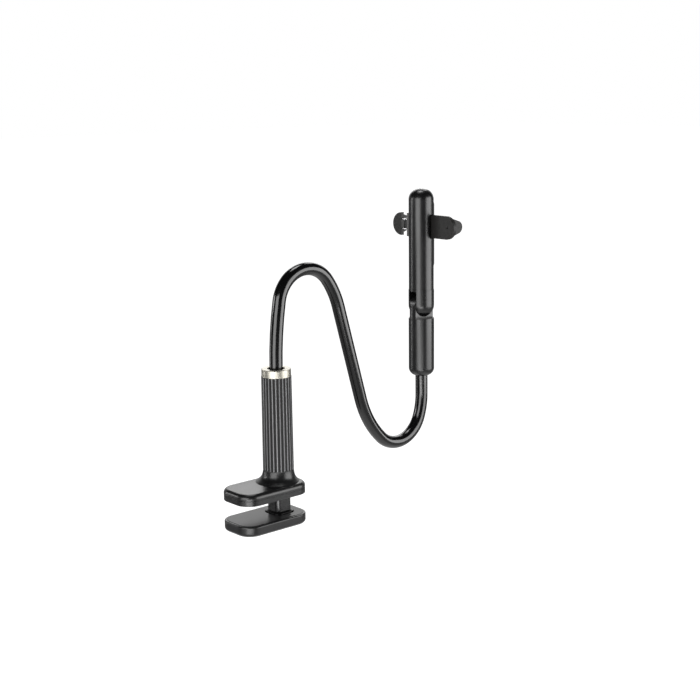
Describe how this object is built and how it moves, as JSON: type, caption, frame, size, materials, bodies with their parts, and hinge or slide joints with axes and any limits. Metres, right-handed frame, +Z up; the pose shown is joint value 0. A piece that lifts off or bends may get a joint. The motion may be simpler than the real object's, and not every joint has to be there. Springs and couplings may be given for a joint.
{
  "type": "desk phone stand",
  "caption": "Desk phone stand: a twist grip closes a padded desk clamp, a flexible gooseneck carries a tilting bar, and sliding hooked grips hold a phone by its sides",
  "frame": {"origin": "centre of the upper jaw's pad face, which lies on the desk top", "axes": "+Z up, +X from the clamp towards the head and out of the bar's phone side, +Y towards the left grip"},
  "size_m": [0.2984, 0.098, 0.3415],
  "materials": {
    "jaw_plastic": "satin moulded",
    "jaw_rubber": "satin skin",
    "column_plastic": "satin moulded",
    "screw_steel": "zinc plated",
    "tube_steel": "drawn",
    "rod_steel": "ground",
    "drive_plastic": "moulded",
    "guide_plastic": "moulded",
    "socket_metal": "black anodised",
    "grip_plastic": "satin moulded",
    "ring_metal": "turned",
    "neck_sheath": "glossy",
    "head_plastic": "satin moulded",
    "claw_plastic": "fine texture",
    "pad_rubber": "matt"
  },
  "bodies": {
    "clamp": {"upper_jaw": "jaw_plastic", "upper_jaw_pad": "jaw_rubber", "guide_tube": "tube_steel", "slip_washer": "drive_plastic", "neck_socket": "socket_metal", "gooseneck": "neck_sheath"},
    "grip": {"grip_sleeve": "grip_plastic", "grip_ring": "ring_metal"},
    "lower_jaw_group": {"lower_jaw": "jaw_plastic", "lower_jaw_pad": "jaw_rubber", "clamp_column": "column_plastic", "column_screws": "screw_steel", "thread_follower": "drive_plastic", "follower_screw": "screw_steel"},
    "head_base": {"base_end_cap": "head_plastic", "joint_base": "head_plastic", "friction_washers": "drive_plastic"},
    "bar": {"fork": "head_plastic", "hinge_screw": "screw_steel", "bar_shell": "head_plastic", "bar_cover": "head_plastic", "cover_screws": "screw_steel", "back_cushion": "pad_rubber", "slide_guide": "guide_plastic"},
    "right_grip": {"right_arm": "claw_plastic", "right_grip_pad": "pad_rubber"},
    "left_grip": {"left_claw": "claw_plastic", "left_grip_pad": "pad_rubber", "guide_rods": "rod_steel"}
  },
  "joints": [
    {"name": "grip_twist", "type": "hinge", "parent": "clamp", "child": "grip", "pos_m": [0.019, 0, 0.07], "axis": [0, 0, 1], "range_deg": [-255.2, 675.2]},
    {"name": "lower_jaw_slide", "type": "slide", "parent": "clamp", "child": "lower_jaw_group", "axis": [0, 0, 1], "range_m": [-0.045, 0.017]},
    {"name": "gooseneck_flex", "type": "hinge", "parent": "clamp", "child": "head_base", "pos_m": [0.1212, 0, 0.1358], "axis": [0, 1, 0], "range_deg": [-20, 20], "deforming": ["gooseneck"]},
    {"name": "head_tilt", "type": "hinge", "parent": "head_base", "child": "bar", "pos_m": [0.2309, 0, 0.1769], "axis": [0, 1, 0], "range_deg": [-45, 90]},
    {"name": "right_grip_slide", "type": "slide", "parent": "bar", "child": "right_grip", "axis": [0, -1, 0], "range_m": [-0.006, 0.009]},
    {"name": "left_grip_slide", "type": "slide", "parent": "bar", "child": "left_grip", "axis": [0, 1, 0], "range_m": [-0.006, 0.009]}
  ],
  "couplings": [
    {"joint": "grip_twist", "follows": "lower_jaw_slide", "rad_per_m": -261.8}
  ]
}
